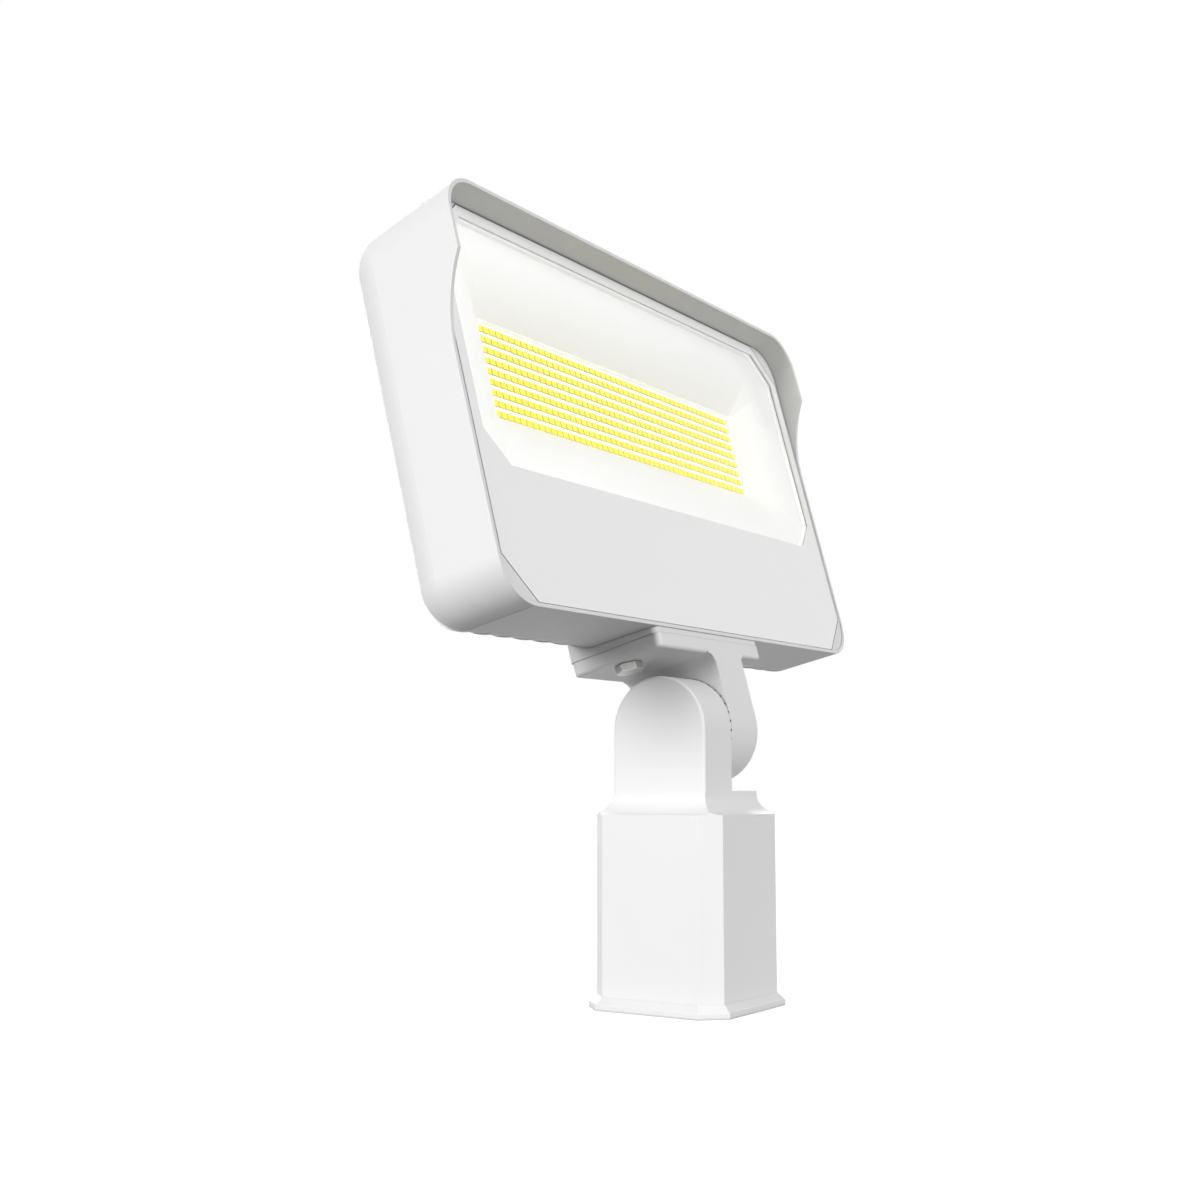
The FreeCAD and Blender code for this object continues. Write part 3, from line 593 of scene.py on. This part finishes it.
def hex_nut(shape, place, flats, height, hole_radius):
    crown = HEX_CROWN * flats
    chamfer = hole_radius * NUT_HOLE_CHAMFER
    loops = [turned_circle(hole_radius, 0.0), turned_circle(crown, 0.0)]
    loops.append(hex_loop(flats, lambda r: (r - crown) * HEX_CHAMFER))
    loops.append(hex_loop(flats, lambda r: height - (r - crown) * HEX_CHAMFER))
    loops += [turned_circle(crown, height), turned_circle(hole_radius + chamfer, height)]
    loops.append(turned_circle(hole_radius, height - chamfer))
    rings = [ring(shape, place, loop) for loop in loops]
    for first, second in zip(rings, rings[1:] + rings[:1]):
        bridge(shape, first, second)


def thread_ridge(shape, place, core, crest, pitch, start, end):
    # One ridge that winds up around a core.
    root = pitch * THREAD_ROOT
    tip = pitch * THREAD_CREST
    profile = ((core, -root), (crest, -tip), (crest, tip), (core, root))
    count = int((end - start - pitch) / pitch * HEX_STEPS)
    loops = []
    for i in range(count + 1):
        turn = 2 * math.pi * i / HEX_STEPS
        z = start + pitch / 2 + pitch * i / HEX_STEPS
        loops.append([(r * math.cos(turn), r * math.sin(turn), z + rise) for r, rise in profile])
    skin_loops(shape, place, loops)


def set_screw(shape, place):
    # Threaded body with a hexagon socket in its outer end.
    core = CLAMP_CORE_RADIUS
    length = CLAMP_LENGTH
    floor = length - CLAMP_SOCKET_DEPTH
    mouth = CLAMP_SOCKET_FLATS * CLAMP_SOCKET_MOUTH
    chamfer = (CLAMP_RADIUS - core) * CLAMP_SOCKET_CHAMFER
    loops = [turned_circle(core, 0.0), turned_circle(core, length), turned_circle(mouth, length)]
    loops.append(hex_loop(CLAMP_SOCKET_FLATS, lambda r: length - chamfer))
    loops.append(hex_loop(CLAMP_SOCKET_FLATS, lambda r: floor))
    skin_loops(shape, place, loops)
    thread_ridge(shape, place, core, CLAMP_RADIUS, CLAMP_PITCH, 0.0, length)


def outward(x, y, z, direction):
    turn = Vector(direction).to_track_quat("Z", "Y").to_matrix().to_4x4()
    return Matrix.Translation((x, y, z)) @ turn


def clamp_sides(reach):
    places = []
    for z in CLAMP_LEVELS:
        places.append(outward(reach, 0.0, z, (1, 0, 0)))
        places.append(outward(0.0, reach, z, (0, 1, 0)))
    return places


def fasteners():
    steel = [finishes["stainless"]]
    bolts = bmesh.new()
    for side in (-1, 1):
        seat = outward(side * BRACKET_BOLT_X, 0.0, BRACKET_UNDERSIDE, (0, 0, -1))
        place = HEAD_PLACE @ seat @ BRACKET_BOLT_TURN
        shank = (BRACKET_BOLT_RADIUS, BRACKET_BOLT_LENGTH)
        hex_head(bolts, place, BRACKET_BOLT_FLATS, BRACKET_BOLT_HEAD, *shank)
    mesh_piece("bracket_hex_bolts", bolts, steel, "head", "stainless", "bracket_bolts")
    low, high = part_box("pivot_bolt")
    bolt = bmesh.new()
    seat = high[0] - PIVOT_HEAD_HEIGHT
    place = outward(seat, 0.0, PIVOT.z, (1, 0, 0))
    hex_head(bolt, place, PIVOT_HEAD_FLATS, PIVOT_HEAD_HEIGHT, PIVOT_BOLT_RADIUS, seat - low[0])
    mesh_piece("pivot_hex_bolt", bolt, steel, "pole_mount", "stainless", "pivot_bolt")
    screws = bmesh.new()
    for place in clamp_sides(CLAMP_TIP):
        set_screw(screws, place)
    mesh_piece("clamp_set_screws", screws, steel, "pole_mount", "stainless", "clamp_screws")
    nuts = bmesh.new()
    for place in clamp_sides(CLAMP_NUT_SEAT):
        hex_nut(nuts, place, CLAMP_NUT_FLATS, CLAMP_NUT_HEIGHT, CLAMP_RADIUS)
    mesh_piece("clamp_hex_nuts", nuts, steel, "pole_mount", "stainless", "clamp_lock_nuts")


def chip_outline(side_inset, end_inset):
    x = CHIP_LENGTH / 2 - side_inset
    z = CHIP_HEIGHT / 2 - end_inset
    cut = CHIP_CORNER_CUT
    corners = [(x, z - cut), (x - cut, z), (cut - x, z), (-x, z - cut)]
    return corners + [(-a, -b) for a, b in corners]


def light_packages():
    # Each package is a low block with cut corners, a sloped shoulder and a flat phosphor face.
    low, high = level_box("led_chips")
    step_x = (high.x - low.x - CHIP_LENGTH) / (CHIP_COLUMNS - 1)
    step_z = (high.z - low.z - CHIP_HEIGHT) / (CHIP_ROWS - 1)
    shoulder = high.y - (high.y - low.y) * CHIP_SHOULDER
    levels = ((high.y, (0.0, 0.0)), (shoulder, (0.0, 0.0)), (low.y, CHIP_TOP_INSETS))
    shape = bmesh.new()
    for row in range(CHIP_ROWS):
        for column in range(CHIP_COLUMNS):
            x = low.x + CHIP_LENGTH / 2 + column * step_x
            z = low.z + CHIP_HEIGHT / 2 + row * step_z
            rings = []
            for y, inset in levels:
                outline = [(x + a, y, z + b) for a, b in chip_outline(*inset)]
                rings.append(ring(shape, HEAD_PLACE, outline))
            bridge(shape, rings[0], rings[1], 1)
            bridge(shape, rings[1], rings[2], 1)
            shape.faces.new(rings[2])
            shape.faces.new(rings[0]).material_index = 1
    wears = [finishes["phosphor"], finishes["chip_flank"]]
    mesh_piece("light_packages", shape, wears, "head", "phosphor", "led_chips")


# Studio
def studio_floor():
    # White to the camera, with the part's shadow, and pale grey to the light that it reflects.
    size = FLOOR_HALF_SIZE
    corners = [(-size, -size, 0), (size, -size, 0), (size, size, 0), (-size, size, 0)]
    mesh = bpy.data.meshes.new("studio_floor")
    mesh.from_pydata(corners, [], [(0, 1, 2, 3)])
    floor = bpy.data.objects.new("studio_floor", mesh)
    bpy.context.scene.collection.objects.link(floor)
    finish, tree, shader, out = new_finish("pale_floor")
    skin = use(tree, COAT_SKIN, Cloud_Scale=1.5)
    tone = blend_colours(tree, skin.outputs["Cloud"], *map(grey, FLOOR_TONES))
    tree.links.new(tone, shader.inputs["Base Color"])
    shader.inputs["Roughness"].default_value = FLOOR_ROUGHNESS
    shader.inputs["Specular IOR Level"].default_value = 0.0
    bare = shader.outputs["BSDF"]
    lift = add(tree, "ShaderNodeEmission", {"Color": WHITE, "Strength": FLOOR_LIFT})
    shown = add(tree, "ShaderNodeAddShader", {0: bare, 1: lift.outputs["Emission"]})
    mixed = mix_shaders(tree, seen_directly(tree), bare, shown.outputs["Shader"])
    tree.links.new(mixed, out.inputs["Surface"])
    mesh.materials.append(finish)


def studio_world():
    # White to the camera, and a faint even light on the part.
    world = bpy.data.worlds.new("studio_world")
    bpy.context.scene.world = world
    world.use_nodes = True
    tree = world.node_tree
    tree.nodes.clear()
    soft = add(tree, "ShaderNodeBackground", {"Color": WHITE, "Strength": AMBIENT})
    white = add(tree, "ShaderNodeBackground", {"Color": WHITE, "Strength": 1.0})
    sides = (soft.outputs["Background"], white.outputs["Background"])
    mixed = mix_shaders(tree, seen_directly(tree), *sides)
    add(tree, "ShaderNodeOutputWorld", {"Surface": mixed})


def studio_lamp(name, bearing, height, strength, spread_angle):
    # A broad soft lamp far away. Bearing 0 is in front of the light, and 90 is on its left.
    lamp = bpy.data.lights.new(name, "SUN")
    lamp.energy = strength
    lamp.angle = math.radians(spread_angle)
    holder = bpy.data.objects.new(name, lamp)
    a = math.radians(bearing)
    h = math.radians(height)
    towards = Vector((-math.sin(a) * math.cos(h), -math.cos(a) * math.cos(h), math.sin(h)))
    holder.rotation_euler = towards.to_track_quat("Z", "Y").to_euler()
    holder.location = towards * LAMP_DISTANCE
    bpy.context.scene.collection.objects.link(holder)


def studio_camera():
    lens = bpy.data.cameras.new("photo_camera")
    lens.lens = CAMERA_LENS_MM
    lens.sensor_width = CAMERA_SENSOR_MM
    lens.clip_start = CAMERA_CLIP_START
    camera = bpy.data.objects.new("photo_camera", lens)
    camera.location = CAMERA_PLACE
    camera.rotation_euler = (math.radians(CAMERA_PITCH), 0.0, math.radians(CAMERA_HEADING))
    bpy.context.scene.collection.objects.link(camera)
    bpy.context.scene.camera = camera


dress_cad_nodes()
light_packages()
fasteners()
studio_floor()
studio_world()
for lamp_name, lamp_values in LAMPS.items():
    studio_lamp(lamp_name, *lamp_values)
studio_camera()
bpy.context.scene.view_settings.view_transform = "Standard"
